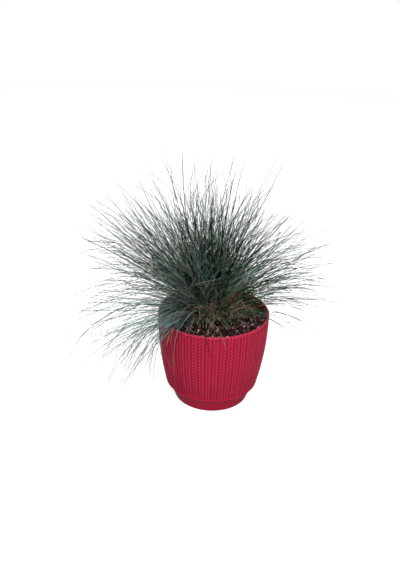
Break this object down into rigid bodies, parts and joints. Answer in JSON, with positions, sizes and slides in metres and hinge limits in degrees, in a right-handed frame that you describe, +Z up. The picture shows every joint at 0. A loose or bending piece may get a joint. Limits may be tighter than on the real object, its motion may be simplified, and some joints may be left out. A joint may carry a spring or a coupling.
{
  "type": "potted blue fescue clump",
  "caption": "Blue fescue clump: a dense tussock of needle-fine blue-green leaves in a round, tapering, knit-patterned red plastic pot filled with potting soil.",
  "frame": {"origin": "centre of the pot's flat base, on the surface it stands on", "axes": "+Z up along the pot's axis; the front, as the picture shows it, is -Y, and +X is to its right"},
  "size_m": [0.3053, 0.2748, 0.2804],
  "materials": {
    "pot_plastic": "injection-moulded, raised knit pattern, satin",
    "potting_soil": "loose dark peat with fibres",
    "leaf_sheath": "straw-coloured, fibrous",
    "leaf_blade": "waxy, blue-green, faintly grooved"
  },
  "bodies": {
    "root": {"crown": "leaf_sheath", "leaf_tuft_01": "leaf_blade", "leaf_tuft_02": "leaf_blade", "leaf_tuft_03": "leaf_blade", "leaf_tuft_04": "leaf_blade", "leaf_tuft_05": "leaf_blade", "leaf_tuft_06": "leaf_blade", "leaf_tuft_07": "leaf_blade", "leaf_tuft_08": "leaf_blade", "leaf_tuft_09": "leaf_blade", "leaf_tuft_10": "leaf_blade", "leaf_tuft_11": "leaf_blade", "leaf_tuft_12": "leaf_blade", "leaf_tuft_13": "leaf_blade", "leaf_tuft_14": "leaf_blade", "leaf_tuft_15": "leaf_blade", "leaf_tuft_16": "leaf_blade", "leaf_tuft_17": "leaf_blade", "leaf_tuft_18": "leaf_blade", "leaf_tuft_19": "leaf_blade", "leaf_tuft_20": "leaf_blade", "leaf_tuft_21": "leaf_blade", "leaf_tuft_22": "leaf_blade", "leaf_tuft_23": "leaf_blade", "leaf_tuft_24": "leaf_blade", "leaf_tuft_25": "leaf_blade", "leaf_tuft_26": "leaf_blade", "leaf_tuft_27": "leaf_blade", "leaf_tuft_28": "leaf_blade", "leaf_tuft_29": "leaf_blade", "leaf_tuft_30": "leaf_blade", "leaf_tuft_31": "leaf_blade", "leaf_tuft_32": "leaf_blade", "leaf_tuft_33": "leaf_blade", "leaf_tuft_34": "leaf_blade", "leaf_tuft_35": "leaf_blade", "long_leaf_1": "leaf_blade", "long_leaf_10": "leaf_blade", "long_leaf_11": "leaf_blade", "long_leaf_2": "leaf_blade", "long_leaf_3": "leaf_blade", "long_leaf_4": "leaf_blade", "long_leaf_5": "leaf_blade", "long_leaf_6": "leaf_blade", "long_leaf_7": "leaf_blade", "long_leaf_8": "leaf_blade", "long_leaf_9": "leaf_blade", "pot": "pot_plastic", "soil": "potting_soil"}
  },
  "joints": []
}
